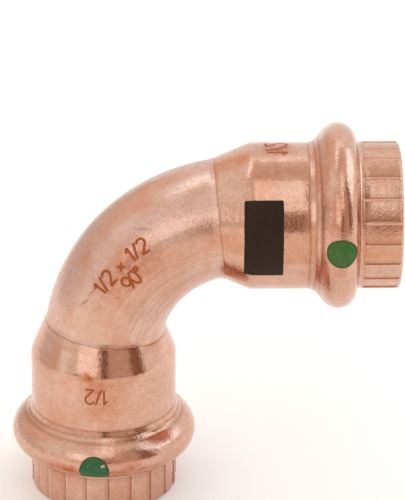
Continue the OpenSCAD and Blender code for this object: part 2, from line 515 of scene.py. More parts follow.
def leg_wall(sizes, leg, turn, wall):
    """Rows of one leg from its mouth to the crease: the profile turned about the axis, then the cone."""
    radius, depth = (column[:, None] for column in wall.profile)
    radius = radius + wall.relief(turn - (sizes.lower_rib_turn if leg == "lower" else 0.0), depth)
    depth = depth + 0 * turn
    end = crease(sizes, turn, wall.level, wall.corner_depth, wall.bend_radius)
    seam_at = end - sizes.blend
    part = np.linspace(0, 1, CONE_STEPS)[1:-1, None]
    cone_depth = np.vstack((
        depth[-1] + part * (seam_at - SEAM_ROWS[0] - depth[-1]),
        seam_at - SEAM_ROWS[:, None],
        end - BLEND_ROWS[:, None] * sizes.blend,
    ))
    cone_radius = wall.level - (cone_depth - wall.corner_depth) * np.tan(sizes.shoulder_angle)
    bent, _ = seam_on_bend(sizes, turn, end, wall)
    cone_radius = cone_radius + wall.dressed * (
        blend_lift(sizes, end - cone_depth, turn, bent)
        - sizes.seam_sink * bell(seam_at - cone_depth, sizes.seam_width)
    )
    radius = np.vstack((radius, cone_radius))
    depth = np.vstack((depth, cone_depth))
    seam = bell(seam_at - depth, SEAM_SPREAD * sizes.seam_width)
    points = on_leg(leg, radius * np.cos(turn), radius * np.sin(turn), depth)
    # Past the seam the surface has the finish of the bend, which counts as deeper than any socket
    zone = np.where(depth > seam_at + sizes.seam_width / 2, ARM, depth)
    return SimpleNamespace(points=points, depth=depth, zone=zone, seam=seam, turn=turn + 0 * depth, end=end)


def seam_on_bend(sizes, turn, end, wall):
    """Where a crease lies on the bend: its angle about the bend's centre and its angle about the tube."""
    radius = wall.level - (end - wall.corner_depth) * np.tan(sizes.shoulder_angle)
    across, side = radius * np.cos(turn), radius * np.sin(turn)
    rise = end - (ARM - sizes.bend_r)
    around = np.arctan2(side, sizes.bend_r - np.hypot(sizes.bend_r - across, rise))
    return np.arctan2(rise, sizes.bend_r - across), turn + angle_from(turn, around)


def ripple(sizes, turn, around):
    """Faint ripples along the drawn bend: waves about the tube that drift as the bend turns."""
    return sizes.ripple * sum(
        share * np.cos(count * around + drift * turn + phase) for count, drift, phase, share in RIPPLES
    )


def whole_length(sizes):
    """Length of the tube's middle line from mouth to mouth: two legs and a quarter turn."""
    return 2 * (ARM - sizes.bend_r) + sizes.bend_r * np.pi / 2


def tube_wall(sizes, shape, wall):
    """Rows of one whole wall from the lower mouth round the bend to the upper mouth.

    Gives the points, the way along the tube's middle, the angle about it, the depth in a socket (the
    bend counts as deeper than any socket) and how near a seam is.
    """
    lower_turn, upper_turn = shape.turns + sizes.lower_rib_turn, shape.turns
    lower = leg_wall(sizes, "lower", lower_turn, wall)
    upper = leg_wall(sizes, "upper", upper_turn, wall)
    first, first_around = seam_on_bend(sizes, lower_turn, lower.end, wall)
    last, last_around = seam_on_bend(sizes, upper_turn, upper.end, wall)
    last = np.pi / 2 - last
    step = sizes.blend * BEND_ROWS[:, None] / (sizes.bend_r - wall.bend_radius * np.cos(first_around))
    part = np.linspace(0, 1, wall.bend_steps)[1:-1, None]
    bend_turn = np.vstack((
        first + step,
        first + step[-1] + part * (last - first - 2 * step[-1]),
        last - step[::-1],
    ))
    mix = (bend_turn - first) / (last - first)
    around = first_around + mix * (last_around - first_around)
    reach = sizes.bend_r - wall.bend_radius * np.cos(around)
    away = np.minimum(bend_turn - first, last - bend_turn) * reach
    radius = wall.bend_radius + wall.dressed * blend_lift(sizes, away, around, first)
    radius = radius + ripple(sizes, bend_turn, around) * np.clip(away / RIPPLE_RUN_IN, 0, 1)
    bend_points = on_bend(sizes, bend_turn, around, radius)
    run = ARM - sizes.bend_r
    whole = whole_length(sizes)
    return SimpleNamespace(
        points=np.vstack((lower.points, bend_points, upper.points[::-1])),
        along=np.vstack((lower.depth, run + sizes.bend_r * bend_turn, whole - upper.depth[::-1])),
        around=np.vstack((lower.turn, around, upper.turn[::-1])),
        depth=np.vstack((lower.zone, np.full_like(bend_turn, ARM), upper.zone[::-1])),
        seam=np.vstack((lower.seam, 0 * bend_turn, upper.seam[::-1])),
    )


def surface_radius(shape, depth):
    """Radius of a socket's outside at a depth behind its mouth."""
    return np.interp(depth, shape.outer[1], shape.outer[0])


def on_socket(shape, leg, depth, turn, lift):
    """Points lifted above a socket's outside; turn is 0 at the front and grows to +X below, to +Z above."""
    radius = surface_radius(shape, depth) + lift
    across = radius * np.sin(turn)
    return on_leg(leg, across if leg == "lower" else -across, -radius * np.cos(turn), depth)


# Materials

# Numbers of a mix node's sockets, whose names repeat: the share of the second of two colours, the two and
# the mixed tone, then two vectors and the mixed one
SHARE, FIRST, SECOND, TONE = 0, 6, 7, 2
FIRST_WAY, SECOND_WAY, WAY = 4, 5, 1


def feed(tree, node, inputs):
    """Gives each input of a node its value, or joins it to the output that feeds it."""
    for key, value in inputs.items():
        socket = node.inputs[key]
        if isinstance(value, bpy.types.NodeSocket):
            tree.links.new(value, socket)
        else:
            socket.default_value = (*value, 1.0) if socket.type == "RGBA" else value


def add(tree, kind, inputs, output=0, **settings):
    """Adds a shader node with its settings and inputs, and gives back one of its outputs, if it has any."""
    made = tree.nodes.new(f"ShaderNode{kind}")
    for key, value in settings.items():
        setattr(made, key, value)
    feed(tree, made, inputs)
    return made.outputs[output] if made.outputs else None


def new_material(name):
    """An empty material, its tree, its shader joined to its output, and the place that patterns read."""
    material = bpy.data.materials.new(name)
    material.use_nodes = True
    tree = material.node_tree
    tree.nodes.clear()
    surface = add(tree, "BsdfPrincipled", {}, "BSDF")
    add(tree, "OutputMaterial", {"Surface": surface})
    return material, tree, surface.node, add(tree, "TexCoord", {}, "Object")


# Least gloss of a socket; the bend has none
SOCKET_GLOSS = 0.01

# Dark scuffs as way along the tube in mm, angle about it, length and width in mm, and lean, and how deep
# they reach
SCUFFS = (
    (36.6, -130.0, 1.5, 0.35, -45.0),
    (26.8, -123.5, 1.1, 0.3, -25.0),
    (28.2, -121.5, 0.9, 0.22, -25.0),
    (19.2, -112.0, 0.25, 0.6, 0.0),
)
SCUFF_DEEP = 2 * MM


def scuff_places(sizes):
    """Each scuff's middle on the unrolled tube, its turn and its reach, for a Mapping node."""
    r = sizes.bend_d / 2
    for along, around, long, wide, lean in SCUFFS:
        around, lean = np.radians((around, lean))
        yield {
            "Location": (r * np.cos(around), r * np.sin(around), along * MM),
            "Rotation": (lean, 0.0, around),
            "Scale": (SCUFF_DEEP, wide * MM, long * MM),
        }


def drawn_copper(colours, sizes):
    """Drawn and pickled copper: a satin pink metal, mottled, with faint lines along the drawn bend.

    The eye sees a soft blotchy shift between pink and orange, a fine grain that breaks up what the metal
    mirrors, rolled lines and a sharper gloss on the sockets, small dark specks, darker brown lines in the
    creases, a painted shade along one side of each rib, and painted highlights on the rib tops and the
    bend's upper side.
    """
    material, tree, shader, place = new_material("pickled_copper")
    tube = add(tree, "Attribute", {}, "Vector", attribute_name="tube_place")
    seam, gloss, burn, rubbed, coarse, streak = (
        add(tree, "Attribute", {}, "Fac", attribute_name=label)
        for label in ("seam", "gloss", "burn", "rubbed", "coarse", "streak")
    )

    # Blotches, stains, mottling and grain by width in mm, detail and roughness of that detail; the real
    # grain is about 0.05 mm, drawn coarser so that it shows
    blotch, stain, mottle, grain = (
        add(tree, "TexNoise", {
            "Vector": place, "Scale": 1 / (width * MM), "Detail": detail, "Roughness": roughness,
        })
        for width, detail, roughness in ((5, 2, 0.5), (3.5, 4, 0.5), (0.8, 4, 0.6), (0.25, 2, 0.5))
    )
    # Draw lines 0.3 mm wide and 12 mm long along the bend, rolled lines 0.7 mm wide around the sockets
    drawn, rolled = (
        add(tree, "Mapping", {"Vector": tube, "Scale": [1 / (span * MM) for span in spans]})
        for spans in ((0.3, 0.3, 12), (7, 7, 0.7))
    )
    socketed = add(tree, "Math", {0: gloss, 1: SOCKET_GLOSS}, operation="GREATER_THAN")
    way = add(tree, "Mix", {
        SHARE: socketed, FIRST_WAY: drawn, SECOND_WAY: rolled,
    }, WAY, data_type="VECTOR")
    lines = add(tree, "TexNoise", {"Vector": way, "Scale": 1.0, "Detail": 3.0})

    # The shade between pale and deep copper: a weighted sum of the patterns about one half, with more of
    # the lines where the bend is streaked, and paler where a highlight is painted on the rib tops and the
    # bend's upper side, with some wear, and in pale patches on the bend
    swing = add(tree, "MapRange", {
        "Value": lines, "From Min": 0.3, "From Max": 0.7, "To Min": -0.4, "To Max": 0.4,
    })
    shade = -1.25
    for pattern, weight in ((blotch, 0.9), (mottle, 1.1), (lines, 0.5), (grain, 1.0), (swing, streak)):
        shade = add(tree, "Math", {0: pattern, 1: weight, 2: shade}, operation="MULTIPLY_ADD")
    shade = add(tree, "Math", {0: rubbed, 1: -0.6, 2: shade}, operation="MULTIPLY_ADD", use_clamp=True)
    bend, socket = (
        add(tree, "Mix", {SHARE: shade, FIRST: pale, SECOND: deep}, TONE, data_type="RGBA")
        for pale, deep in (
            (colours.bend_pale, colours.bend_deep), (colours.copper_pale, colours.copper_deep),
        )
    )
    metal = add(tree, "Mix", {SHARE: socketed, FIRST: bend, SECOND: socket}, TONE, data_type="RGBA")

    # Orange stains, tarnish, dark specks with the darker lines in the creases and the painted shade beside
    # the ribs, then the scuffs with their ragged edges
    stained, tarnish, speck = (
        add(tree, "MapRange", {"Value": pattern, "From Min": start, "From Max": end, "To Max": most})
        for pattern, start, end, most in (
            (stain, 0.5, 0.75, 0.6), (mottle, 0.2, 0.65, 1.0), (grain, 0.66, 0.8, 0.7),
        )
    )
    tarnish = add(tree, "Math", {0: tarnish, 1: burn}, operation="MULTIPLY")
    dirt = add(tree, "Math", {0: speck, 1: seam}, operation="ADD", use_clamp=True)
    layers = [(stained, colours.copper_warm), (tarnish, colours.copper_heat), (dirt, colours.seam_brown)]
    for spot in scuff_places(sizes):
        near = add(tree, "Mapping", {"Vector": tube, **spot}, vector_type="TEXTURE")
        away = add(tree, "VectorMath", {0: near}, "Value", operation="LENGTH")
        ragged = add(tree, "Math", {0: mottle, 1: 2.4, 2: away}, operation="MULTIPLY_ADD")
        scuffed = add(tree, "MapRange", {"Value": ragged, "From Min": 2.1, "From Max": 1.2, "To Max": 0.65})
        layers.append((scuffed, colours.scuff))
    for share, tone in layers:
        metal = add(tree, "Mix", {SHARE: share, FIRST: metal, SECOND: tone}, TONE, data_type="RGBA")

    # The gloss sets how rough the copper is; the lines, the mottling and the grain have heights of their
    # own, and the grain is deeper on the beads and collars
    satin = add(tree, "MapRange", {"Value": gloss, "To Min": 0.18, "To Max": 0.05})
    rough = add(tree, "Math", {0: mottle, 1: 0.1, 2: satin}, operation="MULTIPLY_ADD")
    deep = add(tree, "Math", {0: coarse, 1: 0.015 * MM}, operation="MULTIPLY")
    relief = {}
    for pattern, height in ((lines, 0.02 * MM), (mottle, 0.025 * MM), (grain, deep)):
        relief["Normal"] = add(tree, "Bump", {
            "Height": pattern, "Strength": 1.0, "Distance": height, **relief,
        })
    feed(tree, shader, {"Base Color": metal, "Metallic": 1.0, "Roughness": rough, **relief})
    return material


def burnt_copper(colours):
    """Copper burnt by a marking beam: matt brown strokes with a slight metal shine."""
    material, tree, shader, place = new_material("burnt_copper")
    # Uneven burn about 0.4 mm across
    burn = add(tree, "TexNoise", {"Vector": place, "Scale": 1 / (0.4 * MM), "Detail": 2.0})
    tone = add(tree, "Mix", {
        SHARE: burn, FIRST: colours.burnt, SECOND: colours.copper_heat,
    }, TONE, data_type="RGBA")
    feed(tree, shader, {"Base Color": tone, "Metallic": 0.8, "Roughness": 0.5})
    return material


def moulded_rubber(colours):
    """Moulded EPDM rubber: dull black with greyer patches, a soft greasy sheen and a very fine grain."""
    material, tree, shader, place = new_material("moulded_epdm")
    # Mould grain of 0.2 mm and a bloom in patches of 2 mm
    grain = add(tree, "TexNoise", {"Vector": place, "Scale": 1 / (0.2 * MM), "Detail": 2.0})
    bloom = add(tree, "TexNoise", {"Vector": place, "Scale": 1 / (2 * MM), "Detail": 3.0})
    tone = add(tree, "Mix", {
        SHARE: bloom, FIRST: colours.rubber, SECOND: colours.rubber_bloom,
    }, TONE, data_type="RGBA")
    sheen = add(tree, "MapRange", {"Value": grain, "To Min": 0.4, "To Max": 0.6})
    relief = add(tree, "Bump", {"Height": grain, "Strength": 0.3, "Distance": 0.01 * MM})
    feed(tree, shader, {"Base Color": tone, "Roughness": sheen, "Normal": relief})
    return material


def dabbed_paint(colours):
    """Air dried lacquer put on as a dab: an even green, darker at its thick edge, with pale dust specks."""
    material, tree, shader, place = new_material("dabbed_lacquer")
    edge, thick, chip = (
        add(tree, "Attribute", {}, "Fac", attribute_name=label) for label in ("edge", "thick", "chip")
    )
    # Dust specks 0.15 mm across and uneven paint over 1 mm
    dust = add(tree, "TexNoise", {"Vector": place, "Scale": 1 / (0.15 * MM), "Detail": 1.0})
    uneven = add(tree, "TexNoise", {"Vector": place, "Scale": 1 / (1 * MM), "Detail": 2.0})
    speck = add(tree, "MapRange", {"Value": dust, "From Min": 0.66, "From Max": 0.76, "To Max": 0.5})
    chip = add(tree, "Math", {0: dust, 1: 1.4, 2: chip}, operation="MULTIPLY_ADD")
    chip = add(tree, "MapRange", {"Value": chip, "From Min": 1.2, "From Max": 1.4, "To Max": 0.8})
    bare = add(tree, "Math", {0: speck, 1: chip}, operation="MAXIMUM")
    rim = add(tree, "Math", {0: uneven, 1: 0.3, 2: edge}, operation="MULTIPLY_ADD", use_clamp=True)
    tone = colours.green
    for share, there in (
        (thick, colours.green_cool), (rim, colours.green_dark), (bare, colours.copper_pale),
    ):
        tone = add(tree, "Mix", {SHARE: share, FIRST: tone, SECOND: there}, TONE, data_type="RGBA")
    feed(tree, shader, {"Base Color": tone, "Roughness": 0.5, "IOR": 1.48, "Specular IOR Level": 0.2})
    return material


def printed_ink(colours):
    """Pad printed ink on copper: a thin brown black film with specks where the metal shows through."""
    material, tree, shader, place = new_material("pad_ink")
    # Thin spots 0.15 mm across and a slow change of tone over 3 mm
    thin = add(tree, "TexNoise", {"Vector": place, "Scale": 1 / (0.15 * MM), "Detail": 1.0})
    slow = add(tree, "TexNoise", {"Vector": place, "Scale": 1 / (3 * MM), "Detail": 1.0})
    speck = add(tree, "MapRange", {"Value": thin, "From Min": 0.68, "From Max": 0.8})
    wear = add(tree, "Math", {0: slow, 1: 0.12, 2: speck}, operation="MULTIPLY_ADD")
    tone = add(tree, "Mix", {
        SHARE: wear, FIRST: colours.ink, SECOND: colours.ink_worn,
    }, TONE, data_type="RGBA")
    feed(tree, shader, {"Base Color": tone, "Roughness": 0.5, "IOR": 1.5, "Specular IOR Level": 0.12})
    return material


def painted_board(name, rgb):
    """A matt painted board: almost white, with a trace of roller texture."""
    material, tree, shader, place = new_material(f"{name}_paint")
    # Roller texture about 2 mm across
    texture = add(tree, "TexNoise", {"Vector": place, "Scale": 1 / (2 * MM), "Detail": 1.0})
    matt = add(tree, "MapRange", {"Value": texture, "To Min": 0.85, "To Max": 0.95})
    # A slight glow of its own brings the board up to white and leaves the shadow on it
    feed(tree, shader, {
        "Base Color": rgb, "Roughness": matt, "Emission Color": rgb, "Emission Strength": 0.1,
    })
    return material


def pressed_felt(name, hex_colour):
    """Pressed wool felt: dull and slightly cloudy, with no shine."""
    material, tree, shader, place = new_material(f"{name}_felt")
    # Clouds 20 mm across, a tenth lighter and darker than the felt's own colour
    clouds = add(tree, "TexNoise", {"Vector": place, "Scale": 1 / (20 * MM), "Detail": 2.0})
    tone = np.array(linear(hex_colour))
    felt = add(tree, "Mix", {SHARE: clouds, FIRST: 0.9 * tone, SECOND: 1.1 * tone}, TONE, data_type="RGBA")
    feed(tree, shader, {"Base Color": felt, "Roughness": 0.9})
    return material


# Marks

# How far a film's underside lies in the surface as a share of its thickness, and the powers of the shares
# from its middle that round its edge and mark it
FILM_SUNK = 0.4
FILM_ROUND = 10
FILM_EDGE = 12
# A stroke's flat hexagon, as shares of its half width and of its thickness, and its finest steps
STROKE_ACROSS = np.array((-1.0, -0.8, 0.8, 1.0, 0.8, -0.8))
STROKE_LIFT = np.array((0.0, 1.0, 1.0, 0.0, -1.0, -1.0))
STROKE_STEP = 0.3
STROKE_POINTS = 8
ARC_POINTS = 25


def film(outline, thickness, rings, place):
    """A thin closed film: an outline shrunk towards its middle in rings, on top and again below.

    outline holds offsets along and across as [point, 2]. place(along, across, lift) puts a point of the
    film on the surface below it. The top is flat and rounds down at its edge to just below the surface.
    """
    share = np.sin(np.linspace(0, np.pi / 2, rings + 1))[1:]
    sunk = -FILM_SUNK * thickness
    lift = thickness * np.sqrt(np.clip(1 - share ** FILM_ROUND, 0, 1)) + sunk * (share == 1)
    share = np.concatenate((share, share[-2::-1]))
    lift = np.concatenate((lift, np.full(rings - 1, sunk)))
    spread = share[:, None, None] * outline
    poles = np.array([place(0.0, 0.0, height) for height in (thickness, sunk)])
    grid = place(spread[..., 0], spread[..., 1], lift[:, None] + 0 * spread[..., 0])
    edge = np.concatenate((np.repeat(share ** FILM_EDGE, len(outline)), (0.0, 0.0)))
    return shell(grid, poles), edge


def stroke(path, width, thickness, place):
    """A thin closed ribbon along a path of points [point, 2], with rounded ends.

    Each section is a flat hexagon across the path. Its width falls to nothing at both ends as a circle's
    does.
    """
    steps = np.hypot(*np.diff(path, axis=0).T)
    run = np.concatenate(((0.0,), np.cumsum(steps)))
    count = max(STROKE_POINTS, int(np.ceil(run[-1] / (STROKE_STEP * width))))
    at = np.linspace(0, run[-1], count)
    line = np.stack([np.interp(at, run, path[:, k]) for k in range(2)], axis=-1)
    heading = np.gradient(line, axis=0)
    heading = heading / np.linalg.norm(heading, axis=1, keepdims=True)
    normal = np.stack((-heading[:, 1], heading[:, 0]), axis=-1)
    from_end = np.minimum(at, run[-1] - at) / (width / 2)
    taper = np.sqrt(np.clip(1 - (1 - np.clip(from_end, 0, 1)) ** 2, 0, 1))[1:-1, None]
    across = taper * STROKE_ACROSS * width / 2
    spread = line[1:-1, None, :] + across[..., None] * normal[1:-1, None, :]
    grid = place(spread[..., 0], spread[..., 1], STROKE_LIFT * thickness + 0 * spread[..., 0])
    poles = np.array([place(*line[end], 0.0) for end in (0, -1)])
    return shell(grid, poles)


def arc(middle, radii, start, end):
    """Points of an ellipse's arc from one angle to another, in degrees."""
    turn = np.radians(np.linspace(start, end, ARC_POINTS))
    return np.array(middle) + np.array(radii) * polar(1.0, turn)


# Digits in strokes, with a height of 1 and their own width
DIGITS = {
    "0": (0.62, [arc((0.29, 0.5), (0.27, 0.5), 90, 450)]),
    "1": (0.44, [np.array(((0.05, 0.74), (0.28, 1.0), (0.28, 0.0)))]),
    "2": (0.66, [np.vstack((arc((0.29, 0.71), (0.27, 0.29), 165, -38), ((0.02, 0.0), (0.58, 0.0))))]),
    "9": (0.66, [np.vstack((
        arc((0.29, 0.69), (0.27, 0.31), 0, 360), arc((0.1, 0.69), (0.46, 0.69), 0, -75),
    ))]),
    "°": (0.36, [arc((0.14, 0.86), (0.13, 0.13), 90, 450)]),
    "/": (0.46, [np.array(((0.0, -0.05), (0.38, 1.05)))]),
    "x": (0.62, [np.array(((0.06, 0.12), (0.5, 0.56))), np.array(((0.06, 0.56), (0.5, 0.12)))]),
    " ": (0.4, []),
}


def written(text, height, width, thickness, place):
    """The strokes of a row of digits, centred on its place."""
    total = sum(DIGITS[sign][0] for sign in text)
    shells = []
    start = -total / 2
    for sign in text:
        wide, strokes = DIGITS[sign]
        for path in strokes:
            shells.append(stroke((path + (start, -0.5)) * height, width, thickness, place))
        start += wide
    return shells


# Points round the edge of a dab and of the field, and rings from the middle to the edge
DAB_POINTS, DAB_RINGS = 96, 14
FIELD_POINTS, FIELD_RINGS = 256, 24
# Waves of a dab's edge, three and five to the turn, as shares of its radius
DAB_WAVES = (0.012, 0.008)
# The chip in the lower dab, towards its upper right: its place from the dab's middle, and its reach
CHIP_AT = np.array((-0.8, 1.1)) * MM
CHIP_REACH = 0.6 * MM
# The field's corners as the power of a superellipse, and the wave of its edges
FIELD_POWER = 40
FIELD_WAVE = 0.008 * MM

# Places of the size marks: depth behind the mouth, and turn from the front
LOWER_MARK_DEPTH = 16.4 * MM
LOWER_MARK_TURN = np.radians(-6.2)
UPPER_MARK_DEPTH = 15.45 * MM
UPPER_MARK_TURN = np.radians(91)
BEND_MARK_TURN = np.radians(42)
BEND_MARK_AROUND = np.radians(-108)
# The size marks' height and stroke as shares of a plain digit's, and the rows along the bend by their
# shift from its middle in mm
LOWER_MARK_SCALE, UPPER_MARK_SCALE = 1.0, 1.3
BEND_MARK_HEIGHT, BEND_MARK_STROKE = 0.95, 1.3
BEND_MARK_ROWS = ((1.1, "1/2 x 1/2"), (-1.3, "90°"))
# The rows on the bend are spaced for the front of the tube, just outside its middle line
BEND_MARK_OUT = 2 * MM

# The heat tint at each size mark: half length and half width in mm, and strength; the lower one lies a
# little deeper than its mark
BEND_TINT = (4.4, 2.7, 0.55)
LOWER_TINT = (1.6, 1.3, 0.5)
UPPER_TINT = (1.8, 1.7, 1.1)
LOWER_TINT_SHIFT = 1.6 * MM
# Brown stains: leg, depth behind its mouth in mm, angle about the tube, half length and half width in mm,
# and strength
STAINS = (
    ("lower", 6.85, -84, 0.35, 6.5, 0.9),
    ("lower", 7.2, -116, 0.5, 1.6, 0.9),
    ("lower", 7.4, -72, 0.6, 1.2, 0.7),
    ("lower", 19.0, -102.5, 0.5, 0.9, 0.8),
    ("upper", 17.4, -135, 2.6, 2.6, 0.22),
    ("upper", 8.4, -114, 1.4, 2.4, 0.5),
)
# Places of the bend that are painted paler: most of all a painted highlight, with some wear, on its upper
# side at the top, then pale patches: way along the tube in mm, angle about it, half length in mm, half
# width in degrees, and strength
RUBBED = (
    (48, -150, 6, 34, 1.0),
    (24, -93, 5, 36, 0.75),
    (45, -78, 4, 16, 0.5),
)
# Where the draw lines show most, on the front of the bend's inner side: way along the tube in mm, angle
# about it, half length in mm and half width in degrees
STREAKED = (34, -62, 15, 28)
# Lengths over which the gloss changes: behind the bead's foot, on each side of the shoulder's corner, and
# before the bend
FOOT_RUN = 0.5 * MM
CORNER_RUN = 1 * MM
BEND_RUN = 0.1 * MM


def brown_stains(sizes, level, along, around):
    """How brown the copper is: a soft patch of heat at each size mark, and one for each stain."""
    whole = whole_length(sizes)
    bend_at = ARM - sizes.bend_r + sizes.bend_r * BEND_MARK_TURN
    spots = [
        (bend_at, BEND_MARK_AROUND, *BEND_TINT),
        (LOWER_MARK_DEPTH + LOWER_TINT_SHIFT, LOWER_MARK_TURN - np.pi / 2, *LOWER_TINT),
        (whole - UPPER_MARK_DEPTH, -np.pi / 2 - UPPER_MARK_TURN, *UPPER_TINT),
    ]
    for leg, depth, turn, *extent in STAINS:
        spots.append((depth * MM if leg == "lower" else whole - depth * MM, np.radians(turn), *extent))
    return sum(
        most * patch(along - at, level * angle_from(turn, around), long * MM, wide * MM)
        for at, turn, long, wide, most in spots
    )


def copper_finish(sizes, shape, wall):
    """What the copper's material reads on each point, by name.

    Darker lines lie as bell curves in the seams, in the rolled lines, at the ribs' ends and at the foot of
    the bead, and a painted shade as one along one side of each rib. Gloss and coarseness run straight
    between stations along a leg. Paler places are bell curves: a painted highlight, with some wear, along
    the ribs' tops and on the bend's upper side, and pale patches lower on the bend.
    """
    along, around, depth = wall.along, wall.around, wall.depth
    rings = bell(depth[..., None] - shape.ring_depths, RING_SPREAD * sizes.ring_width).sum(-1)
    ends = bell(depth - shape.rib_to - END_AT, END_WIDE)
    foot = bell(depth - shape.foot_from - FOOT_AT, FOOT_WIDE)
    rib_turn = np.where(along < ARM, sizes.lower_rib_turn, 0.0)
    aside = shape.socket_r * angle_from(rib_turn, around, 2 * np.pi / sizes.rib_count)
    ribbed = (depth < shape.rib_to) * (depth > sizes.rib_from)
    # Painted shade along one side of each rib, and a painted highlight with some wear on its top
    ribs = ribbed * bell(aside - RIB_AT, RIB_WIDE)
    rubbed = ribbed * bell(aside - TOP_AT, TOP_WIDE)
    dirt = SEAM_DIRT * wall.seam + RING_DIRT * rings + END_DIRT * ends + FOOT_DIRT * foot + RIB_DIRT * ribs
    # Depth, gloss and coarseness of the grain: the shoulders are the glossiest, then the sockets' walls,
    # the beads, the collars and the bend
    stations, glosses, coarses = zip(
        (0.0, 0.4, 3.2),
        (shape.foot_from, 0.4, 3.2),
        (shape.foot_from + FOOT_RUN, 0.6, 2.0),
        (BEAD_AT, 0.7, 1.8),
        (shape.ring_depths[2], 0.6, 1.8),
        (shape.ring_depths[0], 0.85, 1.2),
        (sizes.socket_depth - CORNER_RUN, 0.85, 1.2),
        (sizes.socket_depth + CORNER_RUN, 1.0, 1.0),
        (ARM - BEND_RUN, 1.0, 1.0),
        (ARM, 0.0, 1.0),
    )
    gloss = np.interp(depth, stations, glosses)
    bend = gloss < SOCKET_GLOSS
    # A painted highlight on the bend's upper side at the top, with some wear, and paler patches lower down
    for at, turn, long, wide, most in RUBBED:
        away = angle_from(np.radians(turn), around)
        rubbed = rubbed + most * bend * bell(along - at * MM, long * MM) * bell(away, np.radians(wide))
    at, turn, long, wide = STREAKED
    return {
        "tube_place": np.dstack((polar(shape.bend_out_r, around), along)),
        "seam": wall.outside * dirt,
        "gloss": gloss,
        "burn": wall.outside * brown_stains(sizes, shape.socket_r, along, around),
        "rubbed": rubbed,
        "coarse": np.interp(depth, stations, coarses),
        "streak": bend * patch(
            along - at * MM, angle_from(np.radians(turn), around), long * MM, np.radians(wide)
        ),
    }


# Operators


class FITTING_OT_copper_body(bpy.types.Operator):
    """Make the copper body with its sockets, beads, ribs, seams and bore"""

    bl_idname = "fitting.copper_body"
    bl_label = "Copper body"

    def execute(self, context):
        sizes = context.scene.elbow_sizes
        shape = elbow_shape(sizes)

        def relief(turn, depth):
            rings = bell(depth[..., None] - shape.ring_depths, sizes.ring_width).sum(-1)
            return rib_relief(sizes, shape.socket_r, shape.rib_to, turn, depth) - sizes.ring_sink * rings

        outer = tube_wall(sizes, shape, SimpleNamespace(
            profile=shape.outer, level=shape.socket_r, corner_depth=sizes.socket_depth,
            bend_radius=shape.bend_out_r, relief=relief, dressed=1, bend_steps=BEND_STEPS,
        ))
        inner = tube_wall(sizes, shape, SimpleNamespace(
            profile=shape.inner, level=BORE_R, corner_depth=shape.stop_depth,
            bend_radius=shape.bend_bore_r, relief=lambda turn, depth: 0 * turn, dressed=0,
            bend_steps=BEND_STEPS // 2,
        ))
        outer.outside, inner.outside = np.ones_like(outer.depth), np.zeros_like(inner.depth)
        # Out along the outer wall and back along the inner one
        wall = SimpleNamespace(**{
            key: np.vstack((rows, getattr(inner, key)[::-1])) for key, rows in vars(outer).items()
        })
        copper = drawn_copper(context.scene.elbow_colours, sizes)
        body = build("copper_body", [shell(wall.points)], copper, copper_finish(sizes, shape, wall))
        hand_in(body, "drawn_copper", "elbow_body")
        return {"FINISHED"}


class FITTING_OT_seal_rings(bpy.types.Operator):
    """Make the two rubber seal rings that lie in the beads"""

    bl_idname = "fitting.seal_rings"
    bl_label = "Seal rings"

    def execute(self, context):
        rubber = moulded_rubber(context.scene.elbow_colours)
        # A round section carried round the socket's axis, with a fine mould line on its inside and outside
        turn = full_turn(SEAL_COLUMNS)[:, None]
        around = full_turn(SEAL_ROWS)
        line = MOULD_LINE * bell(np.sin(around), MOULD_LINE_WIDE)
        section = SEAL_SECTION / 2 - MOULD_LINE + line
        radius = SEAL_RING_R + section * np.cos(around)
        depth = BEAD_AT + section * np.sin(around) + 0 * turn
        for leg in ("lower", "upper"):
            points = on_leg(leg, radius * np.cos(turn), radius * np.sin(turn), depth)
            ring = build(f"{leg}_seal_ring", [shell(points)], rubber)
            hand_in(ring, "seal_rubber", f"{leg}_seal")
        return {"FINISHED"}


class FITTING_OT_paint_dabs(bpy.types.Operator):
    """Make the green paint dab on the front of each bead"""

    bl_idname = "fitting.paint_dabs"
    bl_label = "Paint dabs"

    def execute(self, context):
        marks = context.scene.elbow_marks
        shape = elbow_shape(context.scene.elbow_sizes)
        paint = dabbed_paint(context.scene.elbow_colours)
        # A circle with a slight wave, as paint runs; the lower dab is thicker, and chipped
        turn = full_turn(DAB_POINTS)
        for leg, depth, front, phase, thick in (
            ("upper", marks.upper_dot_depth, marks.upper_dot_turn, 0.4, 0.0),
            ("lower", marks.lower_dot_depth, marks.lower_dot_turn, 2.1, 1.0),
        ):
            wave = DAB_WAVES[0] * np.cos(3 * turn + phase) + DAB_WAVES[1] * np.cos(5 * turn)
            outline = polar(marks.dot_d / 2 * (1 + wave), turn)

            def place(along, across, lift, leg=leg, depth=depth, front=front):
                behind = depth - along
                aside = np.arcsin(across / surface_radius(shape, behind))
                return on_socket(shape, leg, behind, front + aside, lift)

            dab, edge = film(outline, marks.dot_lift, DAB_RINGS, place)
            from_chip = np.linalg.norm(dab[0] - place(*CHIP_AT, marks.dot_lift), axis=1)
            piece = build(f"{leg}_paint_dab", [dab], paint, {
                "edge": edge,
                "thick": np.full_like(edge, thick),
                "chip": thick * np.clip(1 - from_chip / CHIP_REACH, 0, 1),
            })
            hand_in(piece, "mark_paint")
        return {"FINISHED"}


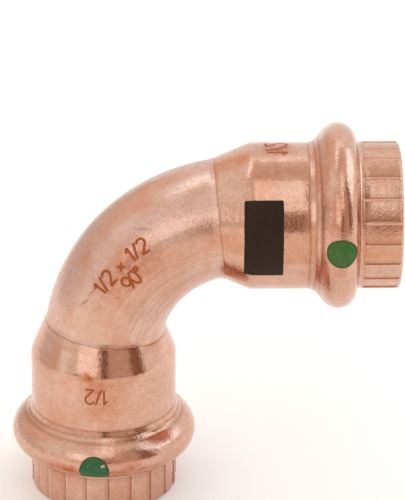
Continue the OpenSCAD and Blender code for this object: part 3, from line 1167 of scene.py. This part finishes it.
class FITTING_OT_printed_field(bpy.types.Operator):
    """Make the printed dark field on the front of the upper socket"""

    bl_idname = "fitting.printed_field"
    bl_label = "Printed field"

    def execute(self, context):
        marks = context.scene.elbow_marks
        shape = elbow_shape(context.scene.elbow_sizes)
        middle = (marks.field_from + marks.field_to) / 2
        half_turn = (marks.field_to - marks.field_from) / 2
        # A rectangle with tight corners as a superellipse, its edges slightly waved
        turn = full_turn(FIELD_POINTS)
        reach = (np.abs(polar(1.0, turn)) ** FIELD_POWER).sum(-1) ** (-1 / FIELD_POWER)
        wave = FIELD_WAVE * (np.cos(9 * turn) + np.sin(23 * turn))
        half_sides = np.array((marks.field_length / 2, half_turn * shape.socket_r)) + wave[:, None]
        outline = half_sides * polar(reach, turn)

        def place(along, across, lift):
            turned = middle + across / shape.socket_r
            return on_socket(shape, "upper", marks.field_depth - along, turned, lift)

        field, _ = film(outline, marks.field_lift, FIELD_RINGS, place)
        ink = build("printed_field", [field], printed_ink(context.scene.elbow_colours))
        hand_in(ink, "print_ink")
        return {"FINISHED"}


class FITTING_OT_size_marks(bpy.types.Operator):
    """Make the size marks burnt into the sockets and the bend"""

    bl_idname = "fitting.size_marks"
    bl_label = "Size marks"

    def execute(self, context):
        marks = context.scene.elbow_marks
        sizes = context.scene.elbow_sizes
        shape = elbow_shape(sizes)
        burnt = burnt_copper(context.scene.elbow_colours)

        # On the sockets the top of a sign points to the mouth
        for leg, depth, front, side, scale in (
            ("lower", LOWER_MARK_DEPTH, LOWER_MARK_TURN, -1, LOWER_MARK_SCALE),
            ("upper", UPPER_MARK_DEPTH, UPPER_MARK_TURN, 1, UPPER_MARK_SCALE),
        ):
            def place(along, across, lift, leg=leg, depth=depth, front=front, side=side):
                return on_socket(shape, leg, depth - across, front + side * along / shape.socket_r, lift)

            height, stroke_width = scale * marks.digit_h, scale * marks.digit_stroke
            signs = written("1/2", height, stroke_width, marks.digit_lift, place)
            hand_in(build(f"{leg}_size_mark", signs, burnt), "drawn_copper")

        # Two rows along the bend, with their tops away from the bend's centre
        shells = []
        height, stroke_width = BEND_MARK_HEIGHT * marks.digit_h, BEND_MARK_STROKE * marks.digit_stroke
        for row, text in BEND_MARK_ROWS:
            def bend_place(along, across, lift, row=row):
                turn = BEND_MARK_TURN + along / (sizes.bend_r + BEND_MARK_OUT)
                around = BEND_MARK_AROUND - (across + row * MM) / shape.bend_out_r
                return on_bend(sizes, turn, around, shape.bend_out_r + lift)

            shells += written(text, height, stroke_width, marks.digit_lift, bend_place)
        hand_in(build("bend_size_mark", shells, burnt), "drawn_copper")
        return {"FINISHED"}


# The studio: how far away its lamps are, the brightness and the colours of the white tent around it, and
# where the tent turns warm, overhead and in front: the way's axis, where that starts and where it is done
STUDIO_REACH = 0.75
TENT_LEVEL = 0.99
TENT_WHITE = "#FFFFFF"
TENT_WARM = "#E9D9C9"
TENT_FADES = (("Z", 0.8, 0.98), ("Y", -0.35, -0.8))
# The floor and the board in front of the elbow
BOARD_POINTS = 96
FLOOR_R = 2.5
FRONT_BOARD_AT = (0.02, -0.24, 0.001)
FRONT_BOARD_R = 0.21
# Lamps as azimuth from the front to the right, elevation, width and height in degrees, the brightness that
# each adds and its colour
LAMPS = (
    ("right_box", 96, 41, 50, 38, 0.8, "#B9E7FF"),
    ("left_box", -28, 25, 32, 28, 0.6, "#D3E8FB"),
    ("front_strip", 6, 55, 17, 50, 0.5, "#D2EBFF"),
    ("back_strip", 178, 57.5, 34, 12, 0.4, "#D3ECFF"),
    ("top_strip", -128, 66, 26, 13, 0.7, "#D1F1FF"),
)
# Cards as ranges of azimuth and elevation in degrees, distance and colour
CARDS = (
    ("middle_card", (-5, 4), (-2.3, 28), 0.75, "#7A5845"),
    ("low_card", (4, 15), (-4, 28), 0.75, "#CBB2A2"),
    ("brown_card", (15, 45), (-4, 58), 0.75, "#CFBAAB"),
    ("dark_card", (45, 66), (-4, 60), 0.75, "#966C55"),
    ("left_card", (-160, -98), (-7, 10), 0.25, "#E4E0DF"),
    ("left_high_card", (-160, -98), (10, 26), 0.25, "#EADCD1"),
    ("back_card", (-160, -98), (26, 50), 0.3, "#F6E2D4"),
    ("side_card", (-98, -76), (-7, 14), 0.25, "#E8DED8"),
)
CARD_POINTS = 12


def direction(azimuth, elevation):
    """The way to a lamp, a card or the camera: azimuth from the front (-Y) to the right, in degrees."""
    turn, rise = np.radians(azimuth), np.radians(elevation)
    return np.stack((
        np.sin(turn) * np.cos(rise), -np.cos(turn) * np.cos(rise), np.sin(rise) + 0 * turn,
    ), axis=-1)


def studio_board(scene, name, points, faces, material, **seen):
    """Makes a floor, board or card of the studio; seen says which kinds of rays see it."""
    mesh = bpy.data.meshes.new(name)
    mesh.from_pydata(points.tolist(), [], faces)
    mesh.materials.append(material)
    board = bpy.data.objects.new(name, mesh)
    for key, value in seen.items():
        setattr(board, f"visible_{key}", value)
    scene.collection.objects.link(board)


def put_up(scene, data, place, axes):
    """Makes an object of a lamp or a camera at its place, turned to its axes."""
    made = bpy.data.objects.new(data.name, data)
    made.matrix_world = Matrix.Translation(place) @ axes.to_4x4()
    scene.collection.objects.link(made)
    return made


class FITTING_OT_stage(bpy.types.Operator):
    """Make the floor, the world, the lamps, the coloured cards and the camera"""

    bl_idname = "fitting.stage"
    bl_label = "Stage"

    def execute(self, context):
        scene = context.scene
        self.floor(scene)
        self.world(scene)
        self.lamps(scene)
        self.cards(scene)
        self.camera(scene)
        scene.view_settings.view_transform = "Standard"
        return {"FINISHED"}

    def floor(self, scene):
        """A round board under the elbow, and a warm one in front of it that only the metal mirrors."""
        turn = full_turn(BOARD_POINTS)
        rim = np.stack((np.cos(turn), np.sin(turn), 0 * turn), axis=-1)
        face = [list(range(BOARD_POINTS))]
        colours = scene.elbow_colours
        studio_board(scene, "floor", rim * FLOOR_R, face, painted_board("floor", colours.floor))
        studio_board(
            scene, "front_board", rim * FRONT_BOARD_R + FRONT_BOARD_AT, face,
            painted_board("front_board", colours.front_board), camera=False, diffuse=False, shadow=False,
        )

    def world(self, scene):
        """White at the sides and behind, dimmer and warmer overhead and in front, as in an open tent."""
        world = bpy.data.worlds.new("studio")
        scene.world = world
        world.use_nodes = True
        tree = world.node_tree
        tree.nodes.clear()
        way = add(tree, "SeparateXYZ", {0: add(tree, "TexCoord", {}, "Generated")}).node.outputs
        above, before = (
            add(tree, "MapRange", {"Value": way[axis], "From Min": start, "From Max": end})
            for axis, start, end in TENT_FADES
        )
        warm = add(tree, "Math", {0: above, 1: before}, operation="MAXIMUM")
        tone = add(tree, "Mix", {
            SHARE: warm, FIRST: linear(TENT_WHITE), SECOND: linear(TENT_WARM),
        }, TONE, data_type="RGBA")
        sky = add(tree, "Background", {"Color": tone, "Strength": TENT_LEVEL})
        add(tree, "OutputWorld", {"Surface": sky})

    def lamps(self, scene):
        """Soft boxes of cool daylight, each given by what it adds to the white behind it.

        A lamp of an area shows a brightness of its energy over four times that area.
        """
        for name, azimuth, elevation, wide, high, added, hex_colour in LAMPS:
            away = Vector(direction(azimuth, elevation))
            lamp = bpy.data.lights.new(name, "AREA")
            lamp.shape = "RECTANGLE"
            lamp.color = linear(hex_colour)
            lamp.size, lamp.size_y = (
                float(2 * STUDIO_REACH * np.tan(np.radians(span) / 2)) for span in (wide, high)
            )
            lamp.energy = added * 4 * lamp.size * lamp.size_y
            axes = away.to_track_quat("Z", "Y").to_matrix()
            put_up(scene, lamp, CAMERA_TARGET + away * STUDIO_REACH, axes)

    def cards(self, scene):
        """Coloured boards around the elbow, which the metal mirrors and the camera itself doesn't see."""
        for name, azimuths, elevations, reach, hex_colour in CARDS:
            azimuth, elevation = (np.linspace(*ends, CARD_POINTS) for ends in (azimuths, elevations))
            points = direction(azimuth, elevation[:, None]) * reach + np.array(CAMERA_TARGET)
            index = np.arange(CARD_POINTS ** 2).reshape(CARD_POINTS, CARD_POINTS)
            faces = np.stack((index[:-1, :-1], index[:-1, 1:], index[1:, 1:], index[1:, :-1]), axis=-1)
            studio_board(
                scene, name, points.reshape(-1, 3), faces.reshape(-1, 4).tolist(),
                pressed_felt(name, hex_colour), camera=False, shadow=False,
            )

    def camera(self, scene):
        """The camera at the photograph's angle, from the fitted azimuth, elevation, roll and distance."""
        ahead = -Vector(direction(CAMERA_AZIMUTH, CAMERA_ELEVATION))
        right = ahead.cross(Vector((0, 0, 1))).normalized()
        up = right.cross(ahead)
        c, s = np.cos(CAMERA_ROLL), np.sin(CAMERA_ROLL)
        right, up = c * right - s * up, s * right + c * up
        lens = bpy.data.cameras.new("photo_view")
        lens.lens = CAMERA_LENS_MM
        lens.sensor_width = CAMERA_SENSOR_MM
        lens.clip_start = CAMERA_CLIP
        axes = Matrix((right, up, -ahead)).transposed()
        scene.camera = put_up(scene, lens, CAMERA_TARGET - ahead * CAMERA_DISTANCE, axes)


OPERATORS = (
    FITTING_OT_copper_body,
    FITTING_OT_seal_rings,
    FITTING_OT_paint_dabs,
    FITTING_OT_printed_field,
    FITTING_OT_size_marks,
    FITTING_OT_stage,
)


class FITTING_PT_elbow(bpy.types.Panel):
    """Lists the elbow's pieces in the sidebar"""

    bl_idname = "FITTING_PT_elbow"
    bl_label = "Copper elbow"
    bl_space_type = "VIEW_3D"
    bl_region_type = "UI"
    bl_category = "Elbow"

    def draw(self, context):
        for made in OPERATORS:
            self.layout.operator(made.bl_idname)
        for group in (context.scene.elbow_sizes, context.scene.elbow_marks, context.scene.elbow_colours):
            box = self.layout.box()
            for key in group.__annotations__:
                box.prop(group, key)


GROUPS = {"elbow_sizes": ElbowSizes, "elbow_marks": MarkSizes, "elbow_colours": ElbowColours}


def register():
    for made in (*GROUPS.values(), *OPERATORS, FITTING_PT_elbow):
        bpy.utils.register_class(made)
    for key, group in GROUPS.items():
        setattr(bpy.types.Scene, key, bpy.props.PointerProperty(type=group))


def unregister():
    for key in GROUPS:
        delattr(bpy.types.Scene, key)
    for made in (FITTING_PT_elbow, *reversed(OPERATORS), *reversed(GROUPS.values())):
        bpy.utils.unregister_class(made)


def main():
    """Registers the classes and makes every piece and the stage."""
    register()
    bpy.ops.fitting.copper_body()
    bpy.ops.fitting.seal_rings()
    bpy.ops.fitting.paint_dabs()
    bpy.ops.fitting.printed_field()
    bpy.ops.fitting.size_marks()
    bpy.ops.fitting.stage()


if __name__ == "__main__":
    main()
